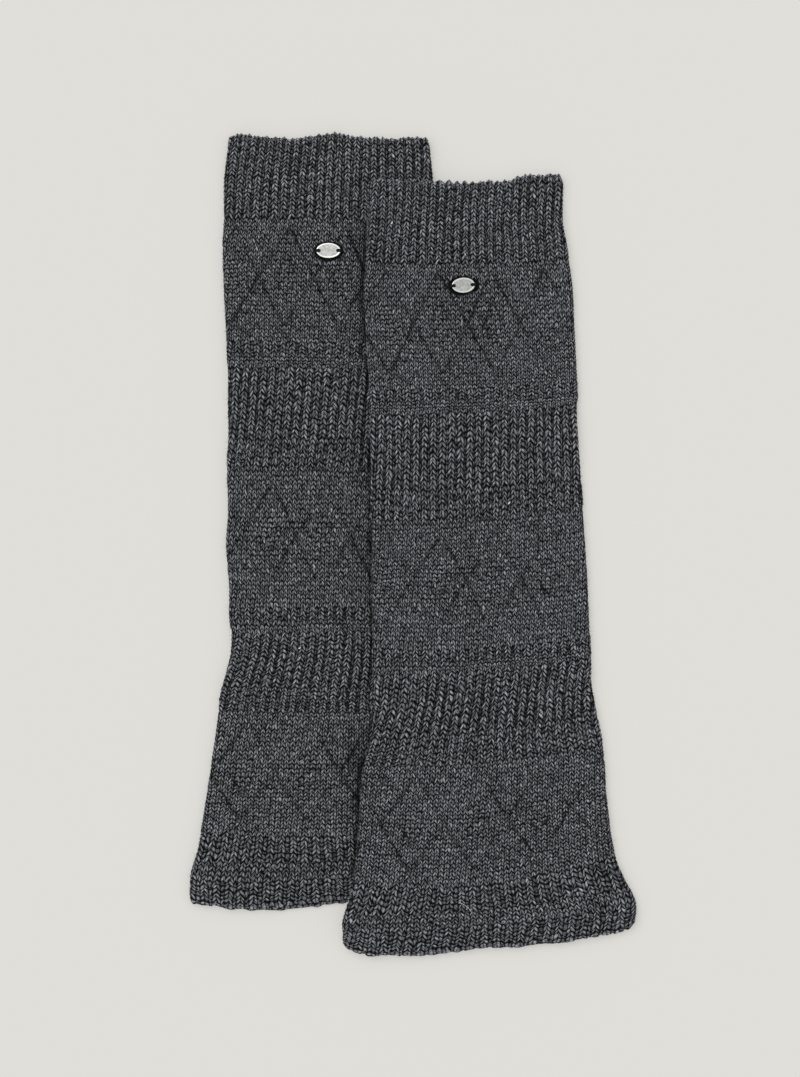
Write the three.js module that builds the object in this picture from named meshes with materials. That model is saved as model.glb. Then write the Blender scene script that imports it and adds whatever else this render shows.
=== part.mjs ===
// A pair of ribbed, knitted leg warmers that lie flat, the upper one partly on the lower one.
// Each leg is one knitted tube, pressed flat, so that its two layers lie on each other, and it
// carries one small metal plate, an oval with a hole near each end, sewn on below the cuff.
// Millimetres. X runs across the legs, Y along them towards the cuffs, Z up from the surface.
import * as THREE from 'three';

// The cloth.
const WALL = 2.0; // the wall under the stitches that stand out of it
const SLIT = 0.8; // the space between the two layers of a flat tube
const BEND = 2.6; // how far a side fold rounds out past the flat part
const RIB = 1.1; // a rib's crest over the recessed wale beside it
const PLAIN = 0.5; // plain knitting over the same recessed level
const DOT = 0.9; // a purl dot or ridge over the recessed level
const SEED = 0.4; // the seed stitch in a diamond over plain knitting
const LIP = 0.7; // how far the wall thins at its two open ends

// The knitting.
const WALES = 48; // wales across one face of the tube, which make 24 ribs
const REPEAT = 12; // wales from one diamond to the next
const APEX = 0.7; // how far a diamond's line is from the middle at its apex, in wales
const LINE = 0.45; // half the width of that line, in wales
const LEAST = 0.15; // the least distance between two columns of points, in wales

// How the legs lie.
const CLEAR = 0.35; // the gap between two pieces that touch
const DRAPE = 20; // the run over which the upper leg comes down beside the lower leg
const HOLD = 2.5; // how far the upper leg stays level past the lower leg's edge
const ENDS = 8; // the courses at each end over which corners round and layers part

// One course of a flat leg: its number from the cuff's edge, where the side folds lie, and how
// far up the course runs at the left fold, in the middle and at the right fold.
const course = (name, number, left, right, atLeft, atMiddle, atRight) =>
  ({ name, number, left, right, atLeft, atMiddle, atRight });

const LOWER = {
  name: 'lower',
  courses: [
    course('cuff edge', 0, -106.2, 10.1, 235.9, 236.5, 234.2),
    course('cuff middle', 10, -108.8, 12.1, 212.8, 212.8, 211.2),
    course('cuff end', 20, -109.1, 13.8, 189.0, 188.5, 187.3),
    course('band 1 shoulder', 26, -110.0, 14.7, 174.5, 173.9, 172.9),
    course('band 1 middle', 38, -109.1, 15.3, 145.5, 144.4, 142.7),
    course('band 1 end', 52, -107.4, 16.2, 113.1, 112.0, 110.1),
    course('rib 1 start', 57, -106.8, 16.2, 102.0, 101.5, 100.3),
    course('rib 1 end', 72, -106.8, 16.4, 60.3, 60.3, 59.2),
    course('band 2 start', 79, -107.4, 16.7, 42.3, 41.7, 40.6),
    course('band 2 middle', 95, -106.8, 17.9, -1.2, -1.2, -2.4),
    course('band 2 end', 111, -105.7, 20.2, -41.8, -41.8, -41.8),
    course('rib 2 start', 115, -104.5, 21.1, -52.3, -51.1, -50.0),
    course('rib 2 middle', 120, -105.7, 22.5, -63.9, -63.9, -62.7),
    course('rib 2 end', 128, -110.6, 24.8, -82.4, -83.6, -82.4),
    course('band 3 start', 136, -112.6, 26.6, -98.7, -99.8, -98.7),
    course('band 3 middle', 150, -117.8, 29.5, -134.6, -134.6, -132.3),
    course('hem rib start', 165, -122.8, 33.0, -167.1, -168.9, -163.6),
    course('hem rib middle', 169, -126.0, 35.9, -179.9, -180.5, -173.5),
    course('hem ridge', 173, -128.9, 39.4, -192.6, -192.6, -183.4),
    course('hem line', 175, -129.4, 39.9, -197.3, -196.7, -187.4),
    course('hem edge', 181, -128.9, 39.4, -207.7, -207.7, -197.3),
  ],
  // How far the layer underneath reaches past the top one, and how the corners round.
  reach: { cuff: 0.8, hem: 2.6 },
  corner: { cuff: 2.0, hem: 3.5 },
  // The wale in the middle of one diamond, for each band.
  diamonds: { 'band 1': 14, 'band 2': 10, 'band 3': 6 },
  folds: [
    { name: 'cuff swell', x: -70, y: 196, angle: 0, length: 60, width: 9, rise: 0.5 },
    { name: 'lean at rib 2', x: -88, y: -66, angle: -68, length: 24, width: 6, rise: 0.6 },
    { name: 'hem sag', x: -60, y: -186, angle: 4, length: 45, width: 7, rise: -0.5 },
  ],
  plate: { across: 0.493, number: 27.2, turn: 0 },
};

const UPPER = {
  name: 'upper',
  courses: [
    course('cuff edge', 0, -25.6, 87.5, 211.1, 209.3, 212.2),
    course('cuff middle', 10, -25.6, 87.7, 187.3, 186.1, 188.4),
    course('cuff end', 20, -26.8, 89.5, 163.5, 162.3, 165.2),
    course('band 1 shoulder', 26, -27.9, 92.7, 148.4, 147.8, 149.6),
    course('band 1 middle', 38, -27.4, 94.5, 118.2, 117.0, 119.3),
    course('band 1 end', 52, -25.3, 95.0, 85.2, 84.6, 86.9),
    course('rib 1 start', 57, -25.0, 95.3, 74.8, 75.3, 79.4),
    course('rib 1 end', 72, -24.5, 97.4, 30.7, 31.8, 35.9),
    course('band 2 start', 79, -23.9, 98.8, 12.1, 12.7, 16.8),
    course('band 2 middle', 95, -23.8, 101.4, -26.7, -25.6, -21.5),
    course('band 2 end', 111, -23.3, 103.6, -65.6, -65.0, -60.4),
    course('rib 2 start', 115, -23.3, 104.0, -76.1, -73.2, -67.9),
    course('rib 2 end', 128, -24.6, 109.5, -112.6, -108.5, -101.0),
    course('band 3 start', 136, -27.5, 111.3, -130.0, -128.8, -118.4),
    course('band 3 middle', 150, -31.2, 113.6, -162.5, -162.5, -149.1),
    course('hem rib start', 165, -34.3, 119.4, -196.7, -196.7, -180.5),
    course('hem rib middle', 169, -36.6, 124.6, -207.1, -206.0, -192.1),
    course('hem ridge', 173, -39.5, 128.4, -218.7, -215.3, -202.5),
    course('hem line', 175, -40.4, 129.3, -223.4, -219.9, -207.1),
    course('hem edge', 181, -40.7, 129.2, -237.3, -233.2, -221.1),
  ],
  reach: { cuff: 1.2, hem: 0.6 },
  corner: { cuff: 2.5, hem: 6.0 },
  diamonds: { 'band 1': 17, 'band 2': 15, 'band 3': 10 },
  folds: [
    { name: 'hem roll', x: -32, y: -225, angle: 90, length: 14, width: 7, rise: 1.4 },
    { name: 'crease beside the roll', x: -18.5, y: -226, angle: 90, length: 12, width: 2.6, rise: -1.0 },
    { name: 'cuff swell', x: 40, y: 171, angle: 0, length: 60, width: 8, rise: 0.5 },
    { name: 'hem wave', x: 62, y: -222, angle: 74, length: 13, width: 7, rise: 0.7 },
    { name: 'flare', x: 108, y: -190, angle: 70, length: 24, width: 7, rise: 0.6 },
  ],
  plate: { across: 0.476, number: 24.8, turn: 4 },
};

// The zones of the knitting, from the cuff down: which stitch each has, and the courses of the
// rows of points that carry it, counted from the zone's first course.
const ZONES = [
  { name: 'cuff', first: 0, stitch: 'rib', rows: [0, 0.7, 10, 19.6] },
  { name: 'band 1', first: 20, stitch: 'diamonds', rows: [0.4, 2, 8, 14, 20, 26, 29.5, 31.6] },
  { name: 'dots 1', first: 52, stitch: 'dots', rows: [0.6, 1.4] },
  { name: 'ridge 1', first: 54, stitch: 'ridge', rows: [0.4, 1.6, 2.6] },
  { name: 'rib 1', first: 57, stitch: 'rib', rows: [0.3, 7.5, 14.7] },
  { name: 'dots 2', first: 72, stitch: 'ridge', rows: [0.4] },
  { name: 'dots 3', first: 73, stitch: 'dots', rows: [0.2, 1.2] },
  { name: 'gap 1', first: 75, stitch: 'ridge', rows: [0] },
  { name: 'dots 4', first: 76, stitch: 'dots', rows: [0.4, 1.6] },
  { name: 'band 2', first: 79, stitch: 'diamonds', rows: [0.2, 2, 8, 14, 20, 26, 29.5, 31.6] },
  { name: 'dots 5', first: 111, stitch: 'dots', rows: [0.4, 1.2] },
  { name: 'ridge 2', first: 112, stitch: 'ridge', rows: [1, 2, 2.8] },
  { name: 'rib 2', first: 115, stitch: 'rib', rows: [0.3, 5, 9, 12.7] },
  { name: 'dots 6', first: 128, stitch: 'dots', rows: [1, 2.2] },
  { name: 'gap 2', first: 131, stitch: 'ridge', rows: [0.4] },
  { name: 'dots 7', first: 132, stitch: 'dots', rows: [1, 2.2] },
  { name: 'band 3', first: 136, stitch: 'diamonds', rows: [0.2, 2, 8, 14, 20, 26, 28.6] },
  { name: 'hem rib', first: 165, stitch: 'rib', rows: [0.3, 2, 4, 6, 7.4] },
  { name: 'hem ridge', first: 173, stitch: 'ridge', rows: [0.2, 1.2, 2.2] },
  { name: 'hem', first: 175, stitch: 'rib', rows: [0.8, 3.4, 5.5, 6] },
];
const LAST = 181; // the hem's edge
const APEX_ROWS = [2, 26]; // where a diamond begins and ends, in courses from its band's first
const CROSSING = 14; // where neighbouring diamonds meet
const STEM_END = 29.5; // where the stitch line under a diamond ends
const RIDGE_TOP = { 'ridge 1': 1.6, 'ridge 2': 2, 'hem ridge': 1.2 }; // the row that stands out
const INNER_ROWS = [0, 20, 38, 57, 72, 95, 115, 128, 150, 165, 167, 169, 171, 173, 177, 181];

const { clamp, lerp, smoothstep, degToRad } = THREE.MathUtils;

// A smooth curve through (x, y) pairs: cubic pieces whose slope at each pair is that of the line
// between its two neighbours.
function smooth(xs, ys) {
  const end = xs.length - 1;
  const slope = (i) => {
    const before = Math.max(i - 1, 0);
    const after = Math.min(i + 1, end);
    return (ys[after] - ys[before]) / (xs[after] - xs[before]);
  };
  return (x) => {
    const found = xs.findIndex((value) => value > x);
    const i = clamp((found < 0 ? end : found) - 1, 0, end - 1);
    const run = xs[i + 1] - xs[i];
    const t = (x - xs[i]) / run;
    const ease = t * t * (3 - 2 * t);
    const leave = t * (1 - t) * (1 - t) * slope(i);
    const arrive = t * t * (t - 1) * slope(i + 1);
    return lerp(ys[i], ys[i + 1], ease) + run * (leave + arrive);
  };
}

function curvesOf(courses) {
  const numbers = courses.map((row) => row.number);
  const along = (key) => smooth(numbers, courses.map((row) => row[key]));
  return {
    left: along('left'),
    right: along('right'),
    atLeft: along('atLeft'),
    atMiddle: along('atMiddle'),
    atRight: along('atRight'),
  };
}

// How far a rounded corner of this radius pulls the edge in, at a distance from the side.
function cornerPull(distance, radius) {
  const rest = Math.max(radius - distance, 0);
  return radius - Math.sqrt(radius * radius - rest * rest);
}

// The height up the leg of the point at x on a course, in the top layer or the one under it.
function yOn(leg, x, number, under) {
  const { left, right, atLeft, atMiddle, atRight } = leg.curves;
  const across = (x - left(number)) / (right(number) - left(number));
  const ends = lerp(atLeft(number), atRight(number), across);
  const middle = (atLeft(number) + atRight(number)) / 2;
  const bow = 4 * across * (1 - across) * (atMiddle(number) - middle);
  const inside = Math.max(Math.min(x - left(number), right(number) - x), 0);
  const nearCuff = clamp(1 - number / ENDS, 0, 1) ** 2;
  const nearHem = clamp(1 - (LAST - number) / ENDS, 0, 1) ** 2;
  const cuff = cornerPull(inside, leg.corner.cuff) * nearCuff;
  const hem = cornerPull(inside, leg.corner.hem) * nearHem;
  const part = under * Math.sin(Math.PI * clamp(across, 0, 1));
  const reach = part * (leg.reach.cuff * nearCuff - leg.reach.hem * nearHem);
  return ends + bow - cuff + hem + reach;
}

const FULL = 2 * WALL + SLIT + RIB; // a flat leg's height at its ribs
const LIFT = FULL + CLEAR; // the upper leg's height where it lies on the lower one

LOWER.curves = curvesOf(LOWER.courses);
UPPER.curves = curvesOf(UPPER.courses);

// The lower leg's right fold as x for a height up the leg, and its hem as y for an x.
const foldRows = [...LOWER.courses].reverse();
const lowerFold = smooth(foldRows.map((row) => row.atRight), foldRows.map((row) => row.right));
const lowerHem = (x) => {
  const { left, right } = LOWER.curves;
  const held = clamp(x, left(LAST), right(LAST));
  return yOn(LOWER, held, LAST, 1);
};

// The surface that a leg lies on. The lower leg lies on the flat surface at 0. The upper leg lies
// on the lower one, and comes down to 0 in an S curve beside it and past its hem.
LOWER.ground = () => 0;
UPPER.ground = (x, y) => {
  const beside = Math.max(x - lowerFold(y), 0);
  const past = Math.max(lowerHem(x) - y, 0);
  const away = Math.hypot(beside, past);
  const under = LIFT + Math.max(foldRise(LOWER, x, y), 0);
  return under * (1 - smoothstep(away, HOLD, HOLD + DRAPE));
};

// The soft folds of the top layer: each is a long bump or trough, highest in its middle.
function foldRise(leg, x, y) {
  return leg.folds.reduce((sum, fold) => {
    const angle = degToRad(fold.angle);
    const dx = x - fold.x;
    const dy = y - fold.y;
    const along = (dx * Math.cos(angle) + dy * Math.sin(angle)) / fold.length;
    const aside = (dy * Math.cos(angle) - dx * Math.sin(angle)) / fold.width;
    return sum + fold.rise * Math.exp(-along * along - aside * aside);
  }, 0);
}

// The height of the stitches over the wall, in columns across the top layer. Each column is
// its place in wales from the left fold, and its rise.
function ribColumns(crest, trough) {
  return Array.from({ length: WALES + 1 }, (_, wale) => ({
    wale,
    rise: wale % 2 ? crest : trough,
  }));
}

function evenColumns(rise) {
  return Array.from({ length: WALES / 2 + 1 }, (_, i) => ({ wale: 2 * i, rise }));
}

// A band's columns follow the lines of its diamonds, so that each line is a groove three points
// wide that runs straight from an apex to a crossing. Two more columns on each side of a diamond
// stand halfway between its line and its middle, and between its line and the next crossing.
function diamondColumns(centre, row) {
  const half = REPEAT / 2;
  const [top, bottom] = APEX_ROWS;
  const spread = clamp(1 - Math.abs(row - CROSSING) / (CROSSING - top), 0, 1);
  const out = lerp(APEX, half - APEX, spread);
  const inDiamond = row >= top && row <= bottom;
  const onStem = row >= bottom && row <= STEM_END;
  const inner = onStem || (inDiamond && spread < 0.01) ? 0 : PLAIN;
  const outer = spread > 0.99 ? 0 : PLAIN;
  const side = [
    { wale: (out - LINE) / 2, rise: inner },
    { wale: out - LINE, rise: inner },
    { wale: out, rise: inDiamond || onStem ? 0 : PLAIN },
    { wale: out + LINE, rise: outer },
    { wale: (out + LINE + half) / 2, rise: outer },
  ];
  const shows = (wale) => wale > 1 && wale < WALES - 1;
  const columns = [{ wale: 0, rise: PLAIN }];
  const first = centre - REPEAT * Math.ceil(centre / REPEAT);
  for (let middle = first; middle <= WALES + REPEAT; middle += REPEAT) {
    if (shows(middle - APEX) || shows(middle - half + APEX)) {
      columns.push(...side.map(({ wale, rise }) => ({ wale: middle - wale, rise })).reverse());
    }
    if (shows(middle)) columns.push({ wale: middle, rise: inner && PLAIN + SEED * spread });
    if (shows(middle + APEX) || shows(middle + half - APEX)) {
      columns.push(...side.map(({ wale, rise }) => ({ wale: middle + wale, rise })));
    }
    if (shows(middle + half)) columns.push({ wale: middle + half, rise: outer });
  }
  columns.push({ wale: WALES, rise: PLAIN });
  const last = columns.length - 1;
  return columns.map(({ wale, rise }, i) => ({
    wale: clamp(wale, LEAST * i, WALES - LEAST * (last - i)),
    rise,
  }));
}

function columnsOf(leg, zone, row) {
  if (zone.stitch === 'rib') return ribColumns(RIB, 0);
  if (zone.stitch === 'dots') return ribColumns(DOT, PLAIN / 2);
  if (zone.stitch === 'diamonds') return diamondColumns(leg.diamonds[zone.name], row);
  return evenColumns(row === RIDGE_TOP[zone.name] ? DOT : 0);
}

// Where points stand across the layer underneath and the inner walls. Those of the upper leg
// stand closer where it comes down beside the lower leg.
function plyPlaces(leg, number) {
  const from = leg.curves.left(number) + BEND;
  const to = leg.curves.right(number) - BEND;
  if (leg === LOWER) return [from, (from + to) / 2, to];
  const edge = lowerFold(yOn(leg, lerp(from, to, 0.35), number, 0));
  const down = edge + HOLD + DRAPE + 1;
  const raised = [0, 0.25, 0.5, 0.75, 1].map((part) => lerp(from, edge, part));
  const slope = [0.3, 0.6].map((part) => edge + HOLD + part * DRAPE);
  return [...raised, ...slope, down, (down + to) / 2, to];
}

// The height of the top layer over a point, without its stitches.
function topOf(leg, x, y) {
  return leg.ground(x, y) + 2 * WALL + SLIT + foldRise(leg, x, y);
}

// One closed loop round the outside of a leg on one course, as four runs of points that share
// their ends: over the top, round the right fold, back under, and round the left fold.
function outerLoop(leg, number, columns, lip) {
  const { left, right } = leg.curves;
  const from = left(number) + BEND;
  const to = right(number) - BEND;
  const over = columns.map(({ wale, rise }) => {
    const across = wale / WALES;
    const x = lerp(from, to, across);
    const y = yOn(leg, x, number, 0);
    return { at: across, point: [x, y, topOf(leg, x, y) + rise - lip] };
  });
  const places = plyPlaces(leg, number).reverse();
  const under = places.map((x) => {
    const y = yOn(leg, x, number, 1);
    return { at: (to - x) / (to - from), point: [x, y, leg.ground(x, y)] };
  });
  const round = (start, finish, side) => {
    const turns = [0, 1, 2, 3, 4].map((step) => {
      const angle = (step / 4) * Math.PI;
      const x = start.point[0] + side * BEND * Math.sin(angle);
      const part = (1 - Math.cos(angle)) / 2;
      const y = lerp(yOn(leg, x, number, 0), yOn(leg, x, number, 1), part);
      return { at: step / 4, point: [x, y, lerp(start.point[2], finish.point[2], part)] };
    });
    turns[0] = { ...start, at: 0 };
    turns[4] = { ...finish, at: 1 };
    return turns;
  };
  const rightFold = round(over.at(-1), under[0], 1);
  const leftFold = round(under.at(-1), over[0], -1);
  return [over, rightFold, under, leftFold];
}

// The same for the slit inside, whose two long sides are the inner walls.
function innerLoop(leg, number) {
  const places = plyPlaces(leg, number);
  const from = places[0];
  const to = places.at(-1);
  const side = (layer) => places.map((x) => {
    const y = yOn(leg, x, number, layer);
    const z = leg.ground(x, y) + WALL + (layer ? 0 : SLIT + foldRise(leg, x, y));
    return { at: (x - from) / (to - from), point: [x, y, z] };
  });
  const over = side(0);
  const under = side(1).reverse().map(({ at, point }) => ({ at: 1 - at, point }));
  const edge = (start, finish) => [{ ...start, at: 0 }, { ...finish, at: 1 }];
  return [over, edge(over.at(-1), under[0]), under, edge(under.at(-1), over[0])];
}

// Fills the strip between two runs with triangles. Runs with the same number of points are
// joined point to point, and others by always taking the nearer next point.
function zip(a, b, triangles) {
  const same = a.length === b.length;
  let i = 0;
  let j = 0;
  while (i < a.length - 1 || j < b.length - 1) {
    const aNext = i < a.length - 1 ? a[i + 1].at : Infinity;
    const bNext = j < b.length - 1 ? b[j + 1].at : Infinity;
    const takeA = same ? i === j : aNext <= bNext;
    if (takeA) {
      triangles.push(a[i].point, b[j].point, a[i + 1].point);
      i += 1;
    } else {
      triangles.push(a[i].point, b[j].point, b[j + 1].point);
      j += 1;
    }
  }
}

// The tube's whole skin: outer loops from the cuff down to the hem, inner loops back up to the
// cuff, and the two open ends closed between its outer and its inner wall.
function tube(leg) {
  const outer = ZONES.flatMap((zone) => zone.rows.map((row) => {
    const number = zone.first + row;
    const lip = number === 0 || number === LAST ? LIP : 0;
    return outerLoop(leg, number, columnsOf(leg, zone, row), lip);
  }));
  const inner = INNER_ROWS.map((number) => innerLoop(leg, number)).reverse();
  const loops = [...outer, ...inner];
  const triangles = [];
  loops.forEach((loop, i) => {
    const next = loops[(i + 1) % loops.length];
    loop.forEach((run, side) => zip(run, next[side], triangles));
  });
  const geometry = new THREE.BufferGeometry();
  geometry.setAttribute('position', new THREE.Float32BufferAttribute(triangles.flat(), 3));
  geometry.computeVertexNormals();
  return geometry;
}

// The metal plate.
const PLATE = { length: 14.0, width: 8.6, thick: 0.9, bevel: 0.2, hole: 0.75, inset: 1.7 };

function plate() {
  const { length, width, thick, bevel, hole, inset } = PLATE;
  const oval = new THREE.Shape();
  oval.absellipse(0, 0, length / 2 - bevel, width / 2 - bevel, 0, 2 * Math.PI);
  for (const side of [-1, 1]) {
    const middle = side * (length / 2 - inset);
    const cut = new THREE.Path();
    cut.absarc(middle, 0, hole + bevel, 0, 2 * Math.PI, true);
    oval.holes.push(cut);
  }
  return new THREE.ExtrudeGeometry(oval, {
    depth: thick - 2 * bevel,
    bevelThickness: bevel,
    bevelSize: bevel,
    bevelSegments: 1,
    curveSegments: 8,
  }).translate(0, 0, bevel);
}

// Seats a plate on a leg's cloth: turned in its plane, tilted to the cloth under its ends and its
// sides, and raised until the highest stitch under it is clear.
function seat(badge, cloth, leg) {
  const { across, number, turn } = leg.plate;
  const { left, right } = leg.curves;
  const x = lerp(left(number), right(number), across);
  const y = yOn(leg, x, number, 0);
  const down = new THREE.Vector3(0, 0, -1);
  const height = (dx, dy) => {
    const above = new THREE.Vector3(x + dx, y + dy, 2 * LIFT + FULL);
    return new THREE.Raycaster(above, down).intersectObject(cloth)[0].point.z;
  };
  const halfLength = PLATE.length / 2;
  const halfWidth = PLATE.width / 2;
  const slopeX = (height(halfLength, 0) - height(-halfLength, 0)) / PLATE.length;
  const slopeY = (height(0, halfWidth) - height(0, -halfWidth)) / PLATE.width;
  const steps = Array.from({ length: 17 }, (_, i) => i / 8 - 1);
  const points = steps.flatMap((u) => steps.map((v) => [u * halfLength, v * halfWidth]));
  const rises = points.map(([dx, dy]) => height(dx, dy) - slopeX * dx - slopeY * dy);
  const up = new THREE.Vector3(-slopeX, -slopeY, 1).normalize();
  const tilt = new THREE.Quaternion().setFromUnitVectors(new THREE.Vector3(0, 0, 1), up);
  const spin = new THREE.Quaternion().setFromAxisAngle(new THREE.Vector3(0, 0, 1), degToRad(turn));
  badge.quaternion.copy(tilt).multiply(spin);
  badge.position.set(x, y, Math.max(...rises) + CLEAR);
}

const WOOL = { color: 0x424346, roughness: 0.95, metalness: 0 };
const STEEL = { color: 0xd6d6d4, roughness: 0.3, metalness: 1 };

const pair = new THREE.Group();
for (const leg of [LOWER, UPPER]) {
  const cloth = new THREE.Mesh(tube(leg), new THREE.MeshStandardMaterial(WOOL));
  cloth.name = `${leg.name}_leg_warmer`;
  const badge = new THREE.Mesh(plate(), new THREE.MeshStandardMaterial(STEEL));
  badge.name = `${leg.name}_badge`;
  seat(badge, cloth, leg);
  pair.add(cloth, badge);
}

export default pair;
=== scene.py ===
import math

import bpy
import numpy as np
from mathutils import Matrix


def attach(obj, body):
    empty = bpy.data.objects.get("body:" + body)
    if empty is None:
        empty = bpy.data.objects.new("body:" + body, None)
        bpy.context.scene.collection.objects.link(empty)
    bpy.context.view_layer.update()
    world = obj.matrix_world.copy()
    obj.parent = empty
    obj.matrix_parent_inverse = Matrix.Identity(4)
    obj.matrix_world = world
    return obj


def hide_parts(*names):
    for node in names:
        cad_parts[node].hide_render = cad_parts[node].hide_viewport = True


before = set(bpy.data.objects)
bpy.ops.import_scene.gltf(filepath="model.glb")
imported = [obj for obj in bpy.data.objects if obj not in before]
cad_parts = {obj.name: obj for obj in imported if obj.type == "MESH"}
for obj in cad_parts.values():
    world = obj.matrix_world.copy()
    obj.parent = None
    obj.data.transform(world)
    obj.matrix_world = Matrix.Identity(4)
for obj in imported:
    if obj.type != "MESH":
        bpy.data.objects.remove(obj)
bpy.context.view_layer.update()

MM = 0.001


# THE KNITTED WALL
# Both legs are knitted on the same pattern from one charcoal melange wool yarn, as a tube of 96
# wales. Laid flat, its two layers lie on each other and its sides turn over in round folds.

WALES = 48  # wales on one face of the flat tube
COURSES = 181  # courses from the cuff's edge to the hem's edge
PITCH = 2.45  # a course, in millimetres
SEAM, SEAM_DEPTH = 0.3, 0.6  # the back seam: half its width in wales, and depth in millimetres
WALL = 2.0  # the wall under the stitches that stand out of it, in millimetres
SLIT = 0.8  # the space between the two layers
BEND = 2.6  # how far a side fold rounds out past the flat part
THICK = 2 * WALL + SLIT  # the flat tube without its stitches
FOLD_RUN = math.pi / 2 * math.hypot(BEND, THICK / 2) / math.sqrt(2)  # a quarter of a side fold
ENDS = 12  # the courses at each end over which corners round and layers part
FOLD_SHADE = 0.25  # painted shade on a side fold: how much lower the stitches' level is set for the material
TROUGH_SHADE = 0.5  # the same painted shade in a fold's trough, for each millimetre of its depth
CORNER_SHADE = 0.34  # the same painted shade right beside another leg's fold that lies on this leg
CORNER_SHADE_WIDTH = 1.7  # how wide that painted shade is to each side of its line, in millimetres
CORNER_SHADE_TOP = (214, 210)  # the heights up the leg between which it begins, in millimetres
LIP = 0.7  # how far the wall thins at its two open ends


def smooth(xs, ys):
    """A curve through pairs: cubic pieces, with the slope at a pair that of its two neighbours' chord."""
    xs, ys = np.asarray(xs, float), np.asarray(ys, float)
    before = np.maximum(np.arange(len(xs)) - 1, 0)
    after = np.minimum(np.arange(len(xs)) + 1, len(xs) - 1)
    slopes = (ys[after] - ys[before]) / (xs[after] - xs[before])

    def curve(x):
        """The height of the cubic pieces at x, which stays level past the first and last pair."""
        x = np.clip(x, xs[0], xs[-1])
        i = np.clip(np.searchsorted(xs, x, side="right") - 1, 0, len(xs) - 2)
        run = xs[i + 1] - xs[i]
        t = (x - xs[i]) / run
        ease = t * t * (3 - 2 * t)
        leave = t * (1 - t) * (1 - t) * slopes[i]
        arrive = t * t * (t - 1) * slopes[i + 1]
        return ys[i] + (ys[i + 1] - ys[i]) * ease + run * (leave + arrive)

    return curve


def through(pairs):
    """The same curve through a list of pairs."""
    return smooth(*np.array(pairs, float).T)


def ramp(x, low, high):
    """0 at low, 1 at high, and an S curve between them. Low may be the greater one."""
    t = np.clip((x - low) / (high - low), 0, 1)
    return t * t * (3 - 2 * t)


def turn_of(count):
    """So many angles, evenly once round a circle."""
    return 2 * math.pi * np.arange(count) / count


def unit(vectors):
    """Vectors brought to length one."""
    return vectors / np.linalg.norm(vectors, axis=-1, keepdims=True)


def corner_pull(distance, radius):
    """How far a rounded corner of this radius pulls an edge in, at a distance from the side."""
    rest = np.maximum(radius - distance, 0)
    return radius - np.sqrt(radius * radius - rest * rest)


def leg_of(courses, reach, corner, cuff_wave, hem_wave, drift, folds):
    """A leg's shape. courses has a row for each measured course: its number from the cuff's edge,
    x at the left and right folds, and the height up the leg at the left, middle and right."""
    number, *measures = np.array(courses, float).T
    names = ("left", "right", "at_left", "at_middle", "at_right")
    return {
        **{name: smooth(number, values) for name, values in zip(names, measures)},
        "reach": reach,
        "corner": corner,
        "cuff_wave": through(cuff_wave),
        "hem_wave": through(hem_wave),
        "drift": through(drift),
        "folds": folds,
        "crossed": None,
        "ground": lambda x, y: np.zeros_like(x),
    }


def height_up(leg, x, number, under):
    """y of a course at x: a line from fold to fold with a parabola's bow, pulled in at rounded
    corners, with each open edge's wave, which dies out over the first courses, a little longer or
    shorter in the layer underneath (under from 0 to 1), and on past the edges at an even pitch."""
    left, right = leg["left"](number), leg["right"](number)
    across = np.clip((x - left) / (right - left), 0, 1)
    at_left, at_right = leg["at_left"](number), leg["at_right"](number)
    ends = at_left + (at_right - at_left) * across
    bow = 4 * across * (1 - across) * (leg["at_middle"](number) - (at_left + at_right) / 2)
    inside = np.maximum(np.minimum(x - left, right - x), 0)
    near_cuff = np.clip(1 - number / ENDS, 0, 1) ** 2
    near_hem = np.clip(1 - (COURSES - number) / ENDS, 0, 1) ** 2
    cuff = corner_pull(inside, leg["corner"][0]) * near_cuff
    hem = corner_pull(inside, leg["corner"][1]) * near_hem
    part = under * np.sin(math.pi * across)
    reach = part * (leg["reach"][0] * near_cuff - leg["reach"][1] * near_hem)
    wave = leg["cuff_wave"](x) * near_cuff + leg["hem_wave"](x) * near_hem
    past = np.minimum(number, 0) + np.maximum(number - COURSES, 0)
    return ends + bow - cuff + hem + reach + wave - past * PITCH


def fold_rise(leg, x, y):
    """The sum of the leg's soft folds: rise * exp(-along^2 - aside^2), with along and aside the
    distances from the fold's middle on its own turned axes, in its own length and width."""
    total = np.zeros_like(x)
    for middle_x, middle_y, angle, length, width, rise in leg["folds"]:
        c, s = math.cos(math.radians(angle)), math.sin(math.radians(angle))
        dx, dy = x - middle_x, y - middle_y
        along = (dx * c + dy * s) / length
        aside = (dy * c - dx * s) / width
        total += rise * np.exp(-along * along - aside * aside)
    return total


def wall_surface(leg, wale, number):
    """The wall without its stitches. The section is a flat stadium: wale runs from the left fold
    over the top (0 to 48) to the right fold and back underneath (to 96) at an even pace, through
    quarters of ellipses at the folds. The section is carried from course to course up the leg."""
    left, right = leg["left"](number), leg["right"](number)
    start, stop = left + BEND, right - BEND
    half = stop - start + 2 * FOLD_RUN
    place = np.mod(wale, 2 * WALES)
    below = place > WALES
    run = np.where(below, 2 * WALES - place, place) / WALES * half
    turn = np.clip(np.minimum(run, half - run) / FOLD_RUN, 0, 1) * math.pi / 2
    outward = np.where(run < half / 2, -1, 1)
    flat_x = np.clip(start + run - FOLD_RUN, start, stop)
    x = flat_x + outward * BEND * np.cos(turn)
    up = np.sin(turn) * np.where(below, -1, 1)
    y = height_up(leg, x, number, (1 - up) / 2)
    ground = leg["ground"](flat_x, y)
    full = THICK + fold_rise(leg, flat_x, y)
    return np.stack([x, y, ground + full * (1 + up) / 2], axis=-1), up


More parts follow.
